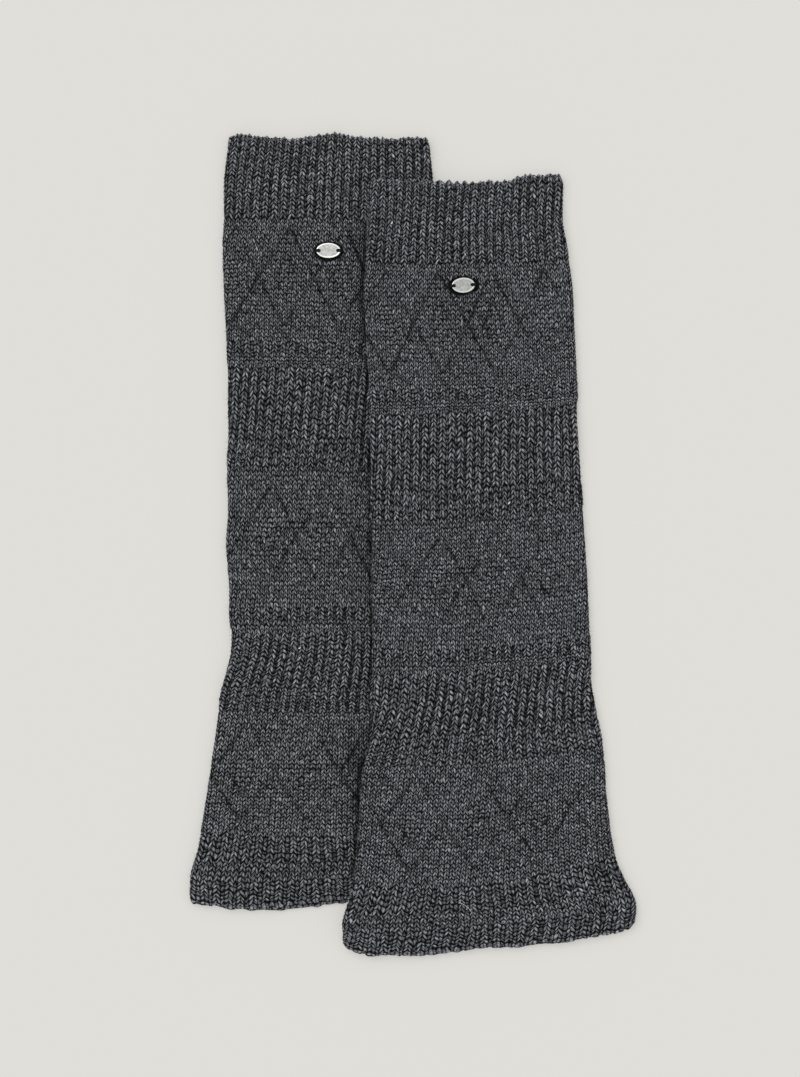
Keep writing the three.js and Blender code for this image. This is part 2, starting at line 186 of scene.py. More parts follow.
# The zones of the knitting, from the cuff down: first course and stitch.
ZONES = [
    (0, "rib"), (20, "diamonds"), (50, "dots"), (53, "groove"), (54, "ridge"), (56, "groove"),
    (57, "rib"), (72, "groove"), (73, "dots"), (75, "groove"), (76, "dots"), (78, "groove"),
    (79, "diamonds"), (109, "dots"), (112, "groove"), (113, "ridge"), (114, "groove"),
    (115, "rib"), (128, "groove"), (129, "dots"), (131, "groove"), (132, "dots"),
    (135, "diamonds"), (164, "groove"), (165, "wide rib"), (171, "plain"), (174, "groove"),
    (175, "wide rib"),
]
REPEAT = 12  # wales from one diamond to the next
# How high each kind of stitch lies over the wall, in millimetres.
RIB, DOT, RIDGE, PLAIN, SEEDED, GROOVE, LOW = 1.15, 0.85, 0.52, 0.5, 0.35, 0.32, -0.05
# For the ribbed stitches: the raised wale, the one between, and how far the raised one spreads.
RIB_LEVELS = {"rib": (RIB, LOW, 1.0), "wide rib": (0.8, 0.06, 0.6), "dots": (DOT, -0.05, 0.7)}
APEX, CROSSING, STEM = 2, 14, 31  # courses of a band where a diamond begins, crosses and ends
LOZENGE = (2.3, 5.4)  # half the width and height of the lozenge inside a diamond, in stitches
LINE = 0.64  # how deep the lines of the diamonds lie, in millimetres


def knitting_chart():
    """Which stitches are purl, and how high each stitch lies, for every course and the twelve
    wales of the repeat. The seed stitch in the middle of a diamond is purl on every other stitch
    inside its lozenge |dx| / a + |dy| / b < 1."""
    wale = np.arange(REPEAT)
    off = np.minimum(wale, REPEAT - wale)
    purl = np.zeros((COURSES + 1, REPEAT))
    level = np.full((COURSES + 1, REPEAT), PLAIN)
    ribbed = np.zeros(COURSES + 1)
    odd = wale % 2 == 1
    last_of = [first for first, _ in ZONES[1:]] + [COURSES + 1]
    for (first, stitch), last in zip(ZONES, last_of):
        for course in range(first, last):
            if stitch == "diamonds":
                row = course - first
                inside = off / LOZENGE[0] + abs(row - CROSSING) / LOZENGE[1] < 1
                seed = inside & ((wale + row) % 2 == 0)
                purl[course] = 0.45 * seed
                level[course] = np.where(inside & ~seed, SEEDED, PLAIN)
            elif stitch == "ridge":
                purl[course], level[course] = 0.25, RIDGE
            elif stitch == "groove":
                level[course] = GROOVE
                ribbed[course] = 0.4
            elif stitch != "plain":
                purl[course] = odd
                high, low, ribbed[course] = RIB_LEVELS[stitch]
                level[course] = np.where(odd, low, high)
    return purl, level, ribbed


def diamond_lines(course, wale):
    """The sunk lines of travelling stitches, from 0 to 1. A line goes one wale to the side every
    two courses, out from a diamond's apex to the crossing and back in, and on down as a short
    stem. A fainter one runs round the lozenge inside. Across a line the depth is a bell curve."""
    place = np.mod(wale - 0.5 + REPEAT / 2, REPEAT) - REPEAT / 2
    off = np.abs(place)[None, :]
    total = np.zeros((len(course), len(wale)))
    for first in [first for first, stitch in ZONES if stitch == "diamonds"]:
        row = (course - first)[:, None]
        from_crossing = np.abs(row - CROSSING)
        half = (CROSSING - APEX) / 2
        aside = off - (half - from_crossing / 2)
        here = ramp(from_crossing, 2 * half + 0.6, 2 * half - 0.6)
        total += here * np.exp(-(aside / 0.38) ** 2)
        stem = ramp(row, 2 * CROSSING - APEX, 2 * CROSSING - APEX + 1) * ramp(row, STEM, STEM - 1)
        total += 0.7 * stem * np.exp(-(off / 0.38) ** 2)
        aside = off - LOZENGE[0] * (1 - from_crossing / LOZENGE[1])
        total += 0.7 * ramp(from_crossing, LOZENGE[1], LOZENGE[1] - 1) * np.exp(-(aside / 0.4) ** 2)
    return np.minimum(total, 1)


PURL, LEVEL, RIBBED = knitting_chart()
# How far the side folds stand out at each course, in millimetres: more beside the denser stitches.
BULGE = np.array([[0.0, 0.0]] * (COURSES + 1))
for first_bulge, last_bulge in ((50, 56), (73, 78), (109, 114), (129, 134)):
    BULGE[first_bulge:last_bulge] = 0.6


def of_stitch(chart, course, wale):
    """Reads a chart over the grid of courses and wales. On the line between two stitches it
    gives their mean."""
    j, i = np.floor(course).astype(int), np.floor(wale).astype(int)
    before_j = np.where(course == j, j - 1, j)
    before_i = np.where(wale == i, i - 1, i)
    last = len(chart) - 1
    mean = 0.5 * (chart[np.clip(j, 0, last)] + chart[np.clip(before_j, 0, last)])
    return 0.5 * (mean[:, i % chart.shape[1]] + mean[:, before_i % chart.shape[1]])


def blended(above, below, near, far, u, v):
    """Straight steps between four entries of a chart: by u from the near column to the far one,
    and by v from the row above to the row below."""
    first = above[:, near] * (1 - u) + above[:, far] * u
    second = below[:, near] * (1 - u) + below[:, far] * u
    return first * (1 - v) + second * v


def between_stitches(chart, course, wale):
    """Reads a chart over the grid with straight steps from the middle of one stitch to the next."""
    j, i = np.floor(course - 0.5).astype(int), np.floor(wale - 0.5).astype(int)
    v, u = (course - 0.5 - j)[:, None], (wale - 0.5 - i)[None, :]
    above, below = (chart[np.clip(row, 0, len(chart) - 1)] for row in (j, j + 1))
    return blended(above, below, i % chart.shape[1], (i + 1) % chart.shape[1], u, v)


def unevenness(seed, rows, columns, period):
    """Smooth random values from -1 to 1: a fixed table of random numbers with cubic steps
    between them, read at rows and columns and closed after a period of columns."""
    table = np.random.default_rng(seed).uniform(-1, 1, (400, period))
    j, i = np.floor(rows).astype(int), np.floor(columns).astype(int)
    v, u = ramp(rows - j, 0, 1)[:, None], ramp(columns - i, 0, 1)[None, :]
    return blended(table[j], table[j + 1], i % period, (i + 1) % period, u, v)


STEPS = 4  # points to a wale and to a course
V_RISE = 0.85  # how far a knit stitch peaks over its sides, in courses
RIB_RISE = 1.0  # the same in a rib, which is wider
YARN = 0.52  # the relief of one stitch, in millimetres
SUNK = 0.65  # the part of that relief that lies under the stitch's level
WIDE = 1.62  # a rib's raised wale, in wales of even width
KNOB = 0.36  # how far a raised wale stands out past the open edges, in courses
SWAY = (0.15, 0.1)  # how far a column of stitches and a single stitch sway, in wales
SAG = (0.22, 0.16)  # how far a patch of stitches and a single stitch sag, in courses
LOOSE = 0.7  # how far a purl bar hangs out of line, in courses
HALF_YARN = 0.28  # from the middle of a course's yarn to its side, in courses


def stitch_relief(course, wale, purl):
    """The round yarn of each stitch, as height between 0 and 1. Across a course it is half a
    circle. Along it a knit stitch is two leaves that meet in the middle of its wale, and a purl
    stitch is one bar."""
    across = course - np.floor(course)
    round_yarn = np.sqrt(np.clip(1 - (2 * across - 1) ** 2, 0, 1))[:, None]
    side = np.abs(2 * (wale - np.floor(wale)) - 1)[None, :]
    leaves = np.interp(side, [0, 0.5, 1], [0.5, 1, 0.05])
    bar = np.interp(side, [0, 0.5, 1], [1, 0.85, 0.2])
    return round_yarn * (leaves + (bar - leaves) * purl)


def stitch_grid(leg, first, last):
    """The points of a stretch, counted in stitches: courses down the leg and wales round it, four
    points to a stitch where it shows, one to a wale underneath and five across the back seam. Also
    how far the tube is twisted at each course, and the wale of the seam."""
    course = np.arange(first * STEPS, last * STEPS + 1) / STEPS
    twist = leg["drift"](course)
    fine_start, fine_stop = math.floor(-3 - twist.max()), math.ceil(WALES + 4 - twist.min())
    fine = np.arange(fine_start * STEPS, fine_stop * STEPS + 1) / STEPS
    coarse = np.arange(fine_stop, fine_start + 2 * WALES) + 0.5
    seam = 1.5 * WALES + 0.5 - leg["drift"](0)
    beside = coarse[np.abs(coarse - seam) > 0.8]
    wale = np.sort(np.concatenate([fine, beside, seam + SEAM * np.array([-2, -1, 0, 1, 2])]))
    return course, wale, twist[:, None], seam


def stitch_levels(course, wale):
    """How high each stitch lies over the wall: the chart's level, patchy where that is lower than
    a plain stitch's, less the depth of the diamonds' lines."""
    level = of_stitch(LEVEL, course, wale)
    patchy = 0.7 + 0.4 * unevenness(17, course / 6, wale / 4, 2 * WALES // 4)
    patchy += 0.4 * unevenness(23, course, wale, 2 * WALES)
    level = PLAIN - (PLAIN - level) * np.where(level < PLAIN, patchy, 1)
    return level - LINE * diamond_lines(course, wale) * patchy


def stitch_places(course, wale, twist):
    """Where each point of a stitch goes: its wale on the tube, how far that sways, and its course.
    A knit stitch peaks in the middle of its wale, a rib's raised wale is wider than the next one,
    a purl bar hangs loosely, and at an open edge the raised wales stand out as knobs."""
    ribbed = of_stitch(RIBBED[:, None], course, np.array([0.5]))
    pair = np.mod(wale, 2)
    wide = np.where(pair < 1, 0.5 + (pair - 0.5) * WIDE, 1.5 + (pair - 1.5) * (2 - WIDE)) - pair
    rows, columns = course[:, None], wale[None, :]
    side = np.abs(2 * (columns - np.floor(columns)) - 1)
    at_ends = 0.35 + 0.65 * np.minimum(ramp(rows, 0, 1.5), ramp(COURSES - rows, 0, 1.5))
    purl = between_stitches(PURL, course, wale)
    peaked = (1 - purl) * at_ends
    arch = 1 - side + 0.2 * ribbed * np.sin(math.pi * side)
    rise = arch * (V_RISE + (RIB_RISE - V_RISE) * ribbed) * peaked
    sway = SWAY[0] * unevenness(3, course / 5, wale / 3, 2 * WALES // 3)
    sway += SWAY[1] * unevenness(11, course, wale, 2 * WALES)
    sag = SAG[0] * unevenness(5, course / 4, wale / 4, 2 * WALES // 4)
    sag += SAG[1] * unevenness(13, course, wale, 2 * WALES)
    loose = LOOSE * purl * unevenness(29, course, wale, 2 * WALES)
    ragged = unevenness(19, course, wale / 2, WALES)
    knobs = KNOB * (1 + ragged) * np.cos(math.pi * (pair - 0.5)) + 0.2 * ragged - 0.2
    outward = np.where(rows < COURSES / 2, -1, 1) * (1 - at_ends)
    number = rows - rise + (sag + loose) * at_ends + knobs * outward
    return columns - 0.5 + twist + ribbed * wide[None, :], sway, number


def with_painted_shade(leg, level, even, up):
    """The level for the material, with painted shade added: lower on the side folds, in a soft
    fold's trough and, along a bell curve, in the corner beside another leg that lies on this one. The
    geometry doesn't change."""
    level = level - FOLD_SHADE * ramp(np.abs(up), 0.95, 0.45)
    level = level + TROUGH_SHADE * np.minimum(fold_rise(leg, even[..., 0], even[..., 1]), 0)
    if leg["crossed"] is not None:
        beside, height = even[..., 0] - leg["crossed"](even[..., 1]), even[..., 1]
        corner = np.exp(-(beside / CORNER_SHADE_WIDTH) ** 2) * ramp(height, *CORNER_SHADE_TOP)
        level = level - CORNER_SHADE * corner * (up > 0)
    return level


def wool_tube(name, leg, first, last, pressed=None):
    """One stretch of a leg's tube, as a closed wall: the outer grid, an end wall, a few rows of
    the inner wall and the other end wall. The outer grid stands off the wall, along the normals of
    the wall without its stitches, by each stitch's level and round yarn. It gets thinner towards
    the side folds' undersides and the open ends, and sinks at the back seam. Where something
    presses on it, its height is cut off at that ceiling, and the pressed-in wool is painted darker:
    painted shade round a plate."""
    course, wale, twist, seam = stitch_grid(leg, first, last)
    purl = of_stitch(PURL, course, wale)
    level = stitch_levels(course, wale)
    place, sway, number = stitch_places(course, wale, twist)
    rows = course[:, None]

    even_rows = np.clip(rows, 1, COURSES - 2) + 0 * place
    even, up = wall_surface(leg, place, even_rows)
    along_wales = np.roll(even, -1, axis=1) - np.roll(even, 1, axis=1)
    along_courses = wall_surface(leg, place, even_rows + 0.5)[0] - even
    out = unit(np.cross(along_courses, along_wales))
    out *= np.sign((out[..., 2] * up).sum())
    base, up = wall_surface(leg, place + sway, number)

    relief = stitch_relief(course, wale, purl)
    size = 1 + 0.25 * unevenness(7, course, wale, 2 * WALES)
    over = level + YARN * size * (relief - SUNK)
    highest = level.max(axis=1, keepdims=True) + (1 - SUNK) * YARN
    over = over - highest * np.clip(1 - up, 0, 1)
    bulge = between_stitches(BULGE, course, np.array([0.5]))
    bulge = bulge + 0.2 * unevenness(31, course, wale / 9, 11)
    over = over + bulge * (1 - np.abs(up))
    lip = LIP * (1 - np.minimum(ramp(rows, 0, 1), ramp(COURSES - rows, 0, 1)))
    sunk = SEAM_DEPTH * np.exp(-((wale - seam) / SEAM) ** 2)
    over = np.where(up < -0.5, np.minimum(over, 0), over) - lip - sunk
    outer = base + out * over[..., None]
    if pressed is not None:
        raised = outer[..., 2].copy()
        outer[..., 2] = np.minimum(raised, pressed(outer[..., 0], outer[..., 1]))
        # Painted shade: the deeper the wool is pressed in, the lower its level for the material, so it is
        # coloured darker round the plate.
        level = level - np.minimum(raised - outer[..., 2], 1.2)
    outer[..., 2] = np.maximum(outer[..., 2], 0)
    # Painted shade: the level is lowered on side folds, in troughs and beside the other leg, so the wool
    # is coloured darker there.
    level = with_painted_shade(leg, level, even, up)

    picks = np.unique(np.linspace(0, len(course) - 1, 2 + (last - first) // 6).astype(int))[::-1]
    inner = (base - out * WALL)[picks]
    points = np.concatenate([outer, inner]) * MM
    tube = fill_wool_mesh(name, points, wale, np.concatenate([course, course[picks]]), purl, level)
    shows = up > -0.7
    edge = (np.abs(up) < 0.6) | (np.abs(rows - COURSES / 2) > COURSES / 2 - 0.3)
    return tube, (outer[shows], out[shows], edge[shows])


def wrapped_faces(index):
    """The faces of a grid of numbered points that wraps both ways."""
    next_row, next_column = np.roll(index, -1, axis=0), np.roll(index, -1, axis=1)
    corners = [index, next_row, np.roll(next_row, -1, axis=1), next_column]
    return np.stack(corners, axis=-1).reshape(-1, 4)


def fill_wool_mesh(name, points, wale, course, purl, level):
    """A closed grid of points as a mesh: faces wrap both ways. Its UV map holds wale and course,
    and its attributes say where purl stitches show and how high each stitch lies."""
    rows, columns = points.shape[:2]
    outer_rows = len(purl)
    index = np.arange(rows * columns).reshape(rows, columns)
    faces = wrapped_faces(index)
    mesh = bpy.data.meshes.new(name)
    mesh.from_pydata(points.reshape(-1, 3), [], faces.tolist())

    course = np.clip(course, HALF_YARN, COURSES - HALF_YARN)  # no painted shade of a gap at an open end
    next_wale, next_course = np.append(wale[1:], wale[0] + 2 * WALES), np.roll(course, -1)
    uv = np.empty((rows, columns, 4, 2))
    uv[..., 0] = np.stack([wale, wale, next_wale, next_wale], axis=-1)
    uv[..., 1] = np.stack([course, next_course, next_course, course], axis=-1)[:, None]
    layer = mesh.uv_layers.new(name="knit")
    layer.data.foreach_set("uv", uv.ravel().astype(np.float32))
    for title, values in (("purl", purl), ("level", level)):
        shown = np.full((rows, columns), PLAIN, np.float32)
        shown[:outer_rows] = values
        mesh.attributes.new(title, "FLOAT", "POINT").data.foreach_set("value", shown.ravel())

    mesh.polygons.foreach_set("use_smooth", np.ones(len(faces), bool))
    ends = np.zeros(rows * columns, int)
    ends[index[0]] = 1
    ends[index[outer_rows - 1]] = 2
    edges = np.empty(2 * len(mesh.edges), int)
    mesh.edges.foreach_get("vertices", edges)
    kinds = ends[edges.reshape(-1, 2)]
    sharp = (kinds[:, 0] == kinds[:, 1]) & (kinds[:, 0] > 0)
    mesh.attributes.new("sharp_edge", "BOOLEAN", "EDGE").data.foreach_set("value", sharp)
    return placed(name, mesh)


def placed(name, data):
    """A new object in the scene, at the origin."""
    made = bpy.data.objects.new(name, data)
    bpy.context.scene.collection.objects.link(made)
    return made


def dress(piece, material):
    """Gives a piece its material. Every piece rides on the root."""
    piece.data.materials.append(material)
    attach(piece, "root")


def strands(name, paths, radius):
    """Fine hairs as closed three-sided spikes: paths is an array of hairs by points, and each
    hair's triangle shrinks to nothing at its last point."""
    hairs, steps = paths.shape[:2]
    along = np.gradient(paths, axis=1)
    aside = unit(np.cross(along, np.array([0.31, 0.52, 0.79])))
    upward = unit(np.cross(aside, along))
    turn = turn_of(3)[:, None]
    ring = aside[:, :-1, None] * np.cos(turn) + upward[:, :-1, None] * np.sin(turn)
    thin = radius * np.linspace(1, 0.5, steps - 1)[:, None, None]
    body = (paths[:, :-1, None] + thin * ring).reshape(hairs, -1, 3)
    points = np.concatenate([body, paths[:, -1:]], axis=1)
    start = np.arange(hairs)[:, None] * points.shape[1]
    corner = start[:, :, None] + 3 * np.arange(steps - 1)[:, None] + np.arange(3)
    following = np.roll(corner, -1, axis=2)
    quads = [corner[:, :-1], corner[:, 1:], following[:, 1:], following[:, :-1]]
    quads = np.stack(quads, axis=-1).reshape(-1, 4).tolist()
    tip = np.broadcast_to(start + points.shape[1] - 1, (hairs, 3))
    tips = np.stack([corner[:, -1], tip, following[:, -1]], axis=-1).reshape(-1, 3).tolist()
    roots = corner[:, 0].reshape(-1, 3).tolist()
    mesh = bpy.data.meshes.new(name)
    mesh.from_pydata(points.reshape(-1, 3) * MM, [], quads + tips + roots)
    return placed(name, mesh)


def fuzz_paths(skin, count, seed):
    """Loose fibres of the wool: from random points of the skin, out along the normal and aside,
    then bent over. One in three stands on a side fold or an open edge, where it shows."""
    points, outward, edge = skin
    random = np.random.default_rng(seed)
    near_edge = np.flatnonzero(edge)
    anywhere = random.integers(0, len(points), count)
    chosen = np.where(np.arange(count) % 3 == 0, near_edge[anywhere % len(near_edge)], anywhere)
    root, normal = points[chosen], outward[chosen]
    length = random.uniform(0.6, 2.2, (count, 1)) * random.uniform(0.6, 1.2, (count, 1))
    lean = random.normal(0, 0.7, (count, 3))
    bend = random.normal(0, 0.5, (count, 3))
    first = root + length * 0.5 * (normal + 0.7 * lean)
    last = first + length * 0.5 * (0.5 * normal + lean + bend)
    paths = np.stack([root - 0.2 * normal, first, last], axis=1)
    paths[..., 2] = np.maximum(paths[..., 2], 0.1)
    return paths


def feed(tree, node, sources):
    """Links outputs of other nodes to a node's sockets, or puts plain values into them."""
    for socket, source in sources.items():
        if isinstance(source, bpy.types.NodeSocket):
            tree.links.new(source, node.inputs[socket])
        else:
            node.inputs[socket].default_value = source


def add(tree, kind, sources=(), **settings):
    """A new node of a material's tree, with its settings and what its sockets get."""
    made = tree.nodes.new("ShaderNode" + kind)
    for key, value in settings.items():
        setattr(made, key, value)
    feed(tree, made, dict(sources))
    return made


def math_of(tree, operation, *values):
    """The output of one math node."""
    return add(tree, "Math", enumerate(values), operation=operation).outputs[0]


def curve_of(tree, value, stops):
    """The output of a ramp through (place, value) stops."""
    ramp_node = add(tree, "ValToRGB", {"Fac": value})
    while len(ramp_node.color_ramp.elements) < len(stops):
        ramp_node.color_ramp.elements.new(0.5)
    for element, (place, grey) in zip(ramp_node.color_ramp.elements, stops):
        element.position = place
        element.color = (grey, grey, grey, 1)
    return ramp_node.outputs["Color"]


def new_material(name, roughness, specular=0.5):
    """A new material, its node tree and the shader in it."""
    material = bpy.data.materials.new(name)
    material.use_nodes = True
    shader = material.node_tree.nodes["Principled BSDF"]
    feed(material.node_tree, shader, {"Roughness": roughness, "Specular IOR Level": specular})
    return material, material.node_tree, shader


def two_tones(tree, shader, factor, dark, light):
    """Colours a shader dark + (light - dark) * factor."""
    tone = add(tree, "Mix", {0: factor, 6: (*dark, 1), 7: (*light, 1)}, data_type="RGBA")
    feed(tree, shader, {"Base Color": tone.outputs[2]})


def bumpy(tree, shader, height, strength, depth):
    """Tilts a shader's surface as a height between 0 and 1 would, over a depth in metres."""
    bump = add(tree, "Bump", {"Strength": strength, "Distance": depth, "Height": height})
    feed(tree, shader, {"Normal": bump.outputs[0]})


def stretched_noise(tree, place, scale, detail, seed=0):
    """Noise read at a place that is first scaled along its axes and moved by a seed."""
    moved = (seed, 2 * seed, 3 * seed)
    scaled = add(tree, "Mapping", {"Vector": place, "Location": moved, "Scale": scale})
    noise = {"Vector": scaled.outputs[0], "Scale": 1, "Detail": detail}
    return add(tree, "TexNoise", noise).outputs["Fac"]


def clouds_of(tree, scale, detail):
    """Soft noise in the object's own space, with so many lumps to a metre."""
    noise = {"Vector": add(tree, "TexCoord").outputs["Object"], "Scale": scale, "Detail": detail}
    return add(tree, "TexNoise", noise).outputs["Fac"]


def fuzz_wool():
    """The wool's own fibres: most of them mid grey, some nearly black and some pale."""
    material, tree, shader = new_material("charcoal_wool_fibres", 0.9, 0.1)
    factor = curve_of(tree, clouds_of(tree, 900, 2), [(0.35, 0), (0.65, 1)])
    two_tones(tree, shader, factor, dark=(0.02, 0.02, 0.023), light=(0.2, 0.205, 0.22))
    return material


def wool_material(name, light):
    """Charcoal melange wool. Its pattern is drawn in stitches: across a course the yarn is round,
    and along it each knit stitch is two leaves and each purl stitch one bar. The light and dark
    fibres lie along the yarn, so the melange runs in short streaks along the courses. The gaps
    between the yarns and the stitches that lie low are coloured darker: painted shade."""
    material, tree, shader = new_material(name, 0.92, 0.1)
    knit = add(tree, "UVMap", uv_map="knit").outputs[0]
    wale, course, _ = add(tree, "SeparateXYZ", {0: knit}).outputs

    def noise(scale_wale, scale_course, detail, seed):
        """Noise with so many lumps to a wale and to a course."""
        return stretched_noise(tree, knit, (scale_wale, scale_course, 1), detail, seed)

    def times(first, second):
        """The product of two values."""
        return math_of(tree, "MULTIPLY", first, second)

    def shaken(value, by, seed):
        """A coordinate moved by noise about as large as a stitch, up to half of by either way."""
        moved = times(math_of(tree, "SUBTRACT", noise(1.3, 1.1, 1, seed), 0.5), by)
        return math_of(tree, "ADD", value, moved)

    wale, course = shaken(wale, 0.6, 5.3), shaken(course, 0.9, 9.1)
    across = times(math_of(tree, "PINGPONG", course, 0.5), 2)
    side = times(math_of(tree, "PINGPONG", wale, 0.5), 2)
    round_yarn = curve_of(tree, across, [(0, 0.25), (0.15, 0.6), (0.45, 0.88), (1, 1)])
    leaves = curve_of(tree, side, [(0, 0.5), (0.15, 0.78), (0.5, 1), (0.85, 0.85), (1, 0.62)])
    bar = curve_of(tree, side, [(0, 0.55), (0.3, 0.82), (1, 1)])
    purl = add(tree, "Attribute", attribute_name="purl").outputs["Fac"]
    shape = add(tree, "Mix", {0: purl, 2: leaves, 3: bar}, data_type="FLOAT")
    yarn = times(round_yarn, shape.outputs[0])

    leaf_wale, leaf_course = (math_of(tree, "FLOOR", place) for place in (times(wale, 2), course))
    leaf = add(tree, "CombineXYZ", {0: leaf_wale, 1: leaf_course}).outputs[0]
    each = add(tree, "TexWhiteNoise", {"Vector": leaf}, noise_dimensions="2D")
    fibres = noise(2.1, 4.2, 2, 7.7)
    # Painted shade: stitches that lie low, after the level attribute, are coloured darker.
    depth = add(tree, "Attribute", attribute_name="level").outputs["Fac"]
    depth = times(math_of(tree, "ADD", depth, 0.6), 0.5)
    # Painted shade: the gaps between the yarns and the yarn's rounded sides are coloured nearly black.
    tone = curve_of(tree, yarn, [(0.57, 0.0), (0.71, 0.22), (0.9, 1)])
    factors = [
        curve_of(tree, noise(0.2, 0.9, 1, 1.3), [(0.3, 0.78), (0.7, 1)]),
        curve_of(tree, noise(1.9, 1.4, 2, 4.1), [(0.32, 0.58), (0.66, 1)]),
        curve_of(tree, each.outputs["Value"], [(0, 0.48), (0.6, 0.76), (1, 1)]),
        curve_of(tree, depth, [(0.12, 0.06), (0.28, 0.24), (0.45, 0.76), (0.55, 0.88), (0.85, 0.92)]),
        curve_of(tree, fibres, [(0.34, 0.12), (0.64, 1)]),
    ]
    for factor in factors:
        tone = times(tone, factor)
    tone = times(tone, 1.1)
    two_tones(tree, shader, tone, dark=(0.002, 0.002, 0.0023), light=light)
    relief = math_of(tree, "ADD", yarn, times(fibres, 0.35))
    bumpy(tree, shader, relief, 0.8, 0.5 * MM)
    feed(tree, shader, {"Sheen Weight": 0.03, "Sheen Roughness": 0.5})
    return material


def cut_of(leg, first, last):
    """The flat size of a stretch of the tube, in metres: round the tube, and up the leg."""
    course = np.linspace(first, last, 20)
    half = leg["right"](course) - leg["left"](course) - 2 * BEND + 2 * FOLD_RUN
    up = leg["at_middle"](np.array([first, last]))
    return 2 * half.mean() * MM, (up[0] - up[1]) * MM


STRETCHES = [
    ("cuff", 0, 20), ("band_1", 20, 56), ("rib_1", 56, 75), ("band_2", 75, 114),
    ("rib_2", 114, 131), ("band_3", 131, 173), ("hem", 173, COURSES),
]


def knit_leg(name, leg, wool, node, pressed):
    """Knits a leg stretch by stretch, from the cuff to the hem, and gives back its whole skin:
    points, directions outwards, and whether each lies on a side fold or an open edge."""
    skins = []
    for stretch, first, last in STRETCHES:
        near_badge = pressed if stretch in ("cuff", "band_1") else None
        tube, skin = wool_tube(f"{name}_{stretch}", leg, first, last, near_badge)
        skins.append(skin)
        tube.data.materials.append(wool)
        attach(tube, "root")
        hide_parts(node)
        cut_of(leg, first, last)
    return [np.concatenate(parts) for parts in zip(*skins)]


FUZZ = fuzz_wool()
HAIR = 0.045  # the radius of a loose fibre
HAIRS = 4200  # loose fibres on each leg


# THE METAL PLATES
# Two stamped ovals of satin silver metal with a hole near each end. Each lies on its leg's top
# layer, below the cuff, so the wool is pressed down under it.

def plate_frame(node):
    """The middle of a plate and its three unit axes: along it, across it and up out of it."""
    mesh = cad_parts[node].data
    points = np.empty(3 * len(mesh.vertices))
    mesh.vertices.foreach_get("co", points)
    points = points.reshape(-1, 3)
    lowest, highest = points.min(axis=0), points.max(axis=0)
    axes = np.linalg.svd(points - points.mean(axis=0), full_matrices=False)[2]
    axes[0] *= np.sign(axes[0, 0])
    axes[2] *= np.sign(axes[2, 2])
    axes[1] = np.cross(axes[2], axes[0])
    return (lowest + highest) / 2, axes


PLATE_THICK = 0.9  # as the CAD model has it, in millimetres
FURROW = 1.7  # how deep the thread pulls the wool in round a plate
FURROW_HALF = (7.4, 4.7)  # half the length and width of the oval along which it lies


def wool_under(node):
    """A ceiling for the wool under a plate: its lower face, moved 0.1 mm down, with a furrow round
    the plate where the thread pulls the wool in, and nothing outside."""
    middle, axes = plate_frame(node)

    def ceiling(x, y):
        """The height of that ceiling at x and y: a tilted plane, less the furrow."""
        dx, dy = x - middle[0] / MM, y - middle[1] / MM
        slope_x, slope_y = -axes[2, 0] / axes[2, 2], -axes[2, 1] / axes[2, 2]
        under = middle[2] / MM - PLATE_THICK / 2 / axes[2, 2] - 0.1 + slope_x * dx + slope_y * dy
        along = dx * axes[0, 0] + dy * axes[0, 1]
        aside = dy * axes[0, 0] - dx * axes[0, 1]
        away = np.hypot((along - 0.15) / FURROW_HALF[0], (aside + 0.25) / FURROW_HALF[1])
        furrow = FURROW * ramp(away, 0.72, 0.86)
        return np.where(away < 1.45, under - furrow + 5 * ramp(away, 1.06, 1.45), np.inf)

    return ceiling


def satin_metal(name, dull, bright, matt, shiny):
    """Silver metal with a fine brushed grain along the plate, a little uneven in its shine. dull
    and bright are its darkest and lightest grey, matt and shiny its roughest and smoothest."""
    material, tree, shader = new_material(name, matt)
    grain = stretched_noise(tree, add(tree, "TexCoord").outputs["Object"], (300, 4000, 300), 2)
    shine = curve_of(tree, grain, [(0.3, shiny), (0.7, matt)])
    feed(tree, shader, {"Roughness": shine, "Metallic": 1.0})
    bumpy(tree, shader, grain, 0.15, 0.05 * MM)
    factor = curve_of(tree, clouds_of(tree, 700, 3), [(0.35, 0), (0.65, 1)])
    darkest, lightest = (dull, dull, 0.97 * dull), (bright, bright, 0.97 * bright)
    two_tones(tree, shader, factor, dark=darkest, light=lightest)
    return material


def closed_tube(path, flat, radius, sides):
    """Points of a round tube along a closed path: round each point of the path, a circle of the
    radius, square to the path. flat is the direction square to the path's plane."""
    along = unit(np.roll(path, -1, axis=0) - np.roll(path, 1, axis=0))
    aside = unit(np.cross(along, flat))
    upward = np.cross(aside, along)
    turn = turn_of(sides)[:, None]
    ring = aside[:, None] * np.cos(turn) + upward[:, None] * np.sin(turn)
    return path[:, None] + radius * ring


def mesh_of_tubes(name, tubes):
    """One object from several closed tubes, each a grid of points that wraps both ways."""
    points, faces, count = [], [], 0
    for tube in tubes:
        index = count + np.arange(tube.shape[0] * tube.shape[1]).reshape(tube.shape[:2])
        faces.append(wrapped_faces(index))
        points.append(tube.reshape(-1, 3))
        count += index.size
    mesh = bpy.data.meshes.new(name)
    mesh.from_pydata(np.concatenate(points), [], np.concatenate(faces).tolist())
    mesh.polygons.foreach_set("use_smooth", np.ones(len(mesh.polygons), bool))
    return placed(name, mesh)


PLATE_HALF = (7.0, 4.3)  # half its length and width
RIM, RIM_RISE = 0.5, 0.2  # half the width and height of the rim's bead
HOLE_AT = 5.3  # from the plate's middle to the middle of a hole
THREAD = 0.34  # the radius of the thread


